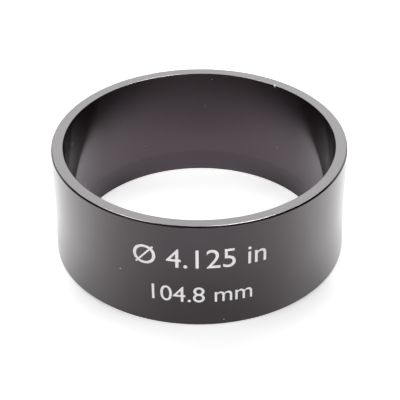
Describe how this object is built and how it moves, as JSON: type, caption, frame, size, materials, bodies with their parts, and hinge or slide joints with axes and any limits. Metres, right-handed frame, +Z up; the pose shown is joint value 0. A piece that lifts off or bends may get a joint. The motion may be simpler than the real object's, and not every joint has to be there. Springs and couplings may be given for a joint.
{
  "type": "piston ring compressor",
  "caption": "One-piece black anodised sleeve with a tapered bore: a piston is pushed in at the wide mouth and its rings close down to the straight land at the foot.",
  "frame": {"origin": "centre of the foot face, on the bore axis", "axes": "+Z up the bore axis from the foot to the wide mouth; -Y is the side that faces the camera in the picture"},
  "size_m": [0.1206, 0.1206, 0.0476],
  "materials": {
    "anodised_aluminium": "fine turned, black anodised, satin"
  },
  "bodies": {
    "root": {"sleeve": "anodised_aluminium"}
  },
  "joints": []
}
